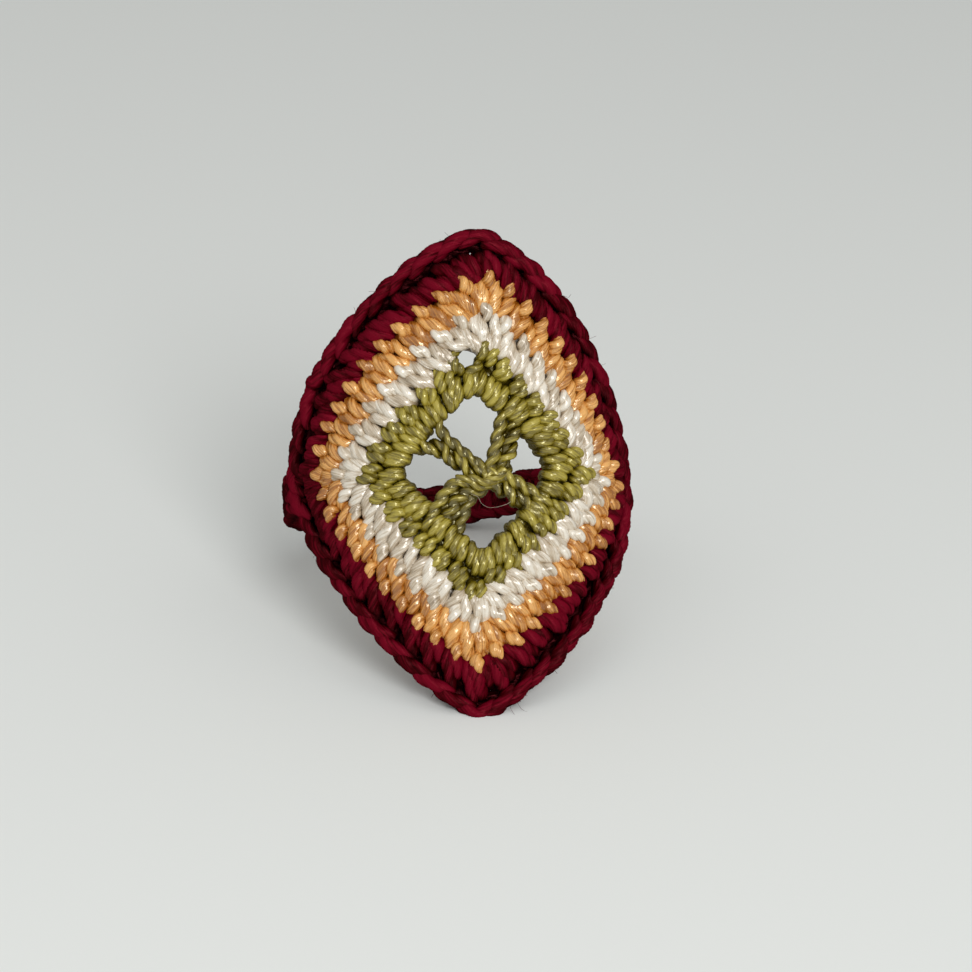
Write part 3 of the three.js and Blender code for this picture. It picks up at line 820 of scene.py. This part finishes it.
def loose_fibres(thread, count):
    """Short fine hairs that stand off the edge of the fabric, clear of the two ends of the band."""
    share = (random.integers(0, 2, count) + random.uniform(*HAIR_PART, count)) / 2
    along, out = outer_edge.axes(share)
    tilt = random.normal(0, HAIR_TILT, count)[:, None]
    heading = np.cos(tilt) * out + np.sin(tilt) * along
    bend = random.normal(0, HAIR_BEND, count)[:, None] * np.stack([-heading[:, 1], heading[:, 0]], -1)
    reach = random.gamma(*HAIR_LENGTH, count)[:, None]
    lift = random.normal(*HAIR_LIFT, count)
    rise = random.normal(0, HAIR_RISE, count)
    start = outer_edge.at(share) + HAIR_START * out
    stages = []
    for stage in HAIR_STAGES:
        place = start + stage * reach * heading + stage ** 2 * reach * bend
        stages.append(np.column_stack([place, lift + stage * rise, np.full(count, HAIR_RADIUS)]))
    thread.add(np.stack(stages, 1), twist=FIBRE_TWIST, ply=1.0, sides=4, step=0.12)


fuzz = Thread()
loose_fibres(fuzz, HAIR_COUNT)
fuzz.build("edge_fuzz", burgundy_thread, "motif", "burgundy_thread")

stray = Thread()
stray_line = np.array([(*point, STRAY_LIFT, STRAY_RADIUS) for point in STRAY_ROUTE])
stray.add(stray_line[None], twist=FIBRE_TWIST, ply=1.0, sides=6)
stray.build("loose_fibre", cream_thread, "motif", "cream_thread")


# Camera: square to the finger, from a little to the left, with the ring at its place in the frame
CAMERA_DISTANCE = 260.0
FRAME_WIDTH = 54.0
CAMERA_YAW = math.radians(7.66)
CAMERA_PITCH = math.radians(-1.0)
CAMERA_ROLL = math.radians(2.98)
CAMERA_SHIFT = (0.52, -0.75)
SENSOR = 36.0
NEAREST = 0.01

level_right = np.array([math.cos(CAMERA_YAW), -math.sin(CAMERA_YAW), 0.0])
level_forward = np.array([math.sin(CAMERA_YAW), math.cos(CAMERA_YAW), 0.0])
finger_up = np.array([0.0, 0.0, 1.0])
forward = level_forward * math.cos(CAMERA_PITCH) - finger_up * math.sin(CAMERA_PITCH)
level_up = finger_up * math.cos(CAMERA_PITCH) + level_forward * math.sin(CAMERA_PITCH)
right = level_right * math.cos(CAMERA_ROLL) - level_up * math.sin(CAMERA_ROLL)
up = level_right * math.sin(CAMERA_ROLL) + level_up * math.cos(CAMERA_ROLL)
eye = right * CAMERA_SHIFT[0] + up * CAMERA_SHIFT[1] - forward * CAMERA_DISTANCE

lens = bpy.data.cameras.new("camera")
lens.sensor_width = SENSOR
lens.lens = SENSOR * CAMERA_DISTANCE / FRAME_WIDTH
lens.clip_start = NEAREST
camera = bpy.data.objects.new("camera", lens)
bpy.context.scene.collection.objects.link(camera)
axes = Matrix([lean_back(right), lean_back(up), lean_back(-forward)]).transposed()
camera.matrix_world = Matrix.Translation((lean_back(eye) + RING_ORIGIN) * MM) @ axes.to_4x4()
bpy.context.scene.camera = camera


# Floor and light, in metres

# The floor's colour falls off towards the back and a little to the right, a painted falloff of the light:
# where, which way and how fast
FLOOR_HALF_WIDTH = 1.5
FLOOR_PAINTED_LIT_FRONT = (0.86, 0.875, 0.855)
FLOOR_PAINTED_DIM_BACK = (0.60, 0.61, 0.595)
FALL_START = (0.4, 0.0, 0.0)
FALL_TURN = (0.0, 0.0, math.radians(-70))
FALL_RATE = (4.0, 4.0, 4.0)

LAMP_PLACE = (0.09, -0.45, 0.335)
LAMP_TARGET = (0, 0, 0.01)
LAMP_SIZE = 0.24
LAMP_POWER = 1.5

DOME_LEVEL = (0.46, 0.465, 0.46)
DOME_TOP = (0.72, 0.73, 0.72)


def floor():
    """A pale table, with a painted falloff of light towards the back."""
    size = FLOOR_HALF_WIDTH
    corners = [(-size, -size, 0), (size, -size, 0), (size, size, 0), (-size, size, 0)]
    mesh = bpy.data.meshes.new("floor")
    mesh.from_pydata(corners, [], [(0, 1, 2, 3)])
    material = bpy.data.materials.new("floor")
    material.use_nodes = True
    tree = material.node_tree
    shader = tree.nodes["Principled BSDF"]
    shader.inputs["Roughness"].default_value = 0.8
    shader.inputs["Specular IOR Level"].default_value = 0.2
    place = tree.nodes.new("ShaderNodeTexCoord")
    turned = node(tree, "ShaderNodeMapping", Location=FALL_START, Rotation=FALL_TURN, Scale=FALL_RATE)
    # Painted falloff of light across the floor
    painted_falloff = tree.nodes.new("ShaderNodeTexGradient")
    ramp = colour_ramp(tree, (0.0, FLOOR_PAINTED_LIT_FRONT), (1.0, FLOOR_PAINTED_DIM_BACK))
    tree.links.new(place.outputs["Object"], turned.inputs["Vector"])
    tree.links.new(turned.outputs["Vector"], painted_falloff.inputs["Vector"])
    tree.links.new(painted_falloff.outputs["Color"], ramp.inputs["Fac"])
    tree.links.new(ramp.outputs["Color"], shader.inputs["Base Color"])
    mesh.materials.append(material)
    ground = bpy.data.objects.new("floor", mesh)
    bpy.context.scene.collection.objects.link(ground)


def area_light(name, place, target, size, power):
    """A round lamp that faces a target."""
    lamp = bpy.data.lights.new(name, "AREA")
    lamp.shape = "DISK"
    lamp.size = size
    lamp.energy = power
    light = bpy.data.objects.new(name, lamp)
    light.location = place
    light.rotation_euler = (Vector(target) - Vector(place)).to_track_quat("-Z", "Y").to_euler()
    bpy.context.scene.collection.objects.link(light)


def dome():
    """Soft light from all round, brightest from above."""
    studio = bpy.data.worlds.new("studio")
    studio.use_nodes = True
    tree = studio.node_tree
    place = tree.nodes.new("ShaderNodeTexCoord")
    parts = tree.nodes.new("ShaderNodeSeparateXYZ")
    ramp = colour_ramp(tree, (0.0, DOME_LEVEL), (1.0, DOME_TOP))
    tree.links.new(place.outputs["Generated"], parts.inputs["Vector"])
    tree.links.new(parts.outputs["Z"], ramp.inputs["Fac"])
    tree.links.new(ramp.outputs["Color"], tree.nodes["Background"].inputs["Color"])
    return studio


floor()
area_light("lamp", LAMP_PLACE, LAMP_TARGET, LAMP_SIZE, LAMP_POWER)
bpy.context.scene.world = dome()
bpy.context.scene.view_settings.view_transform = "Standard"
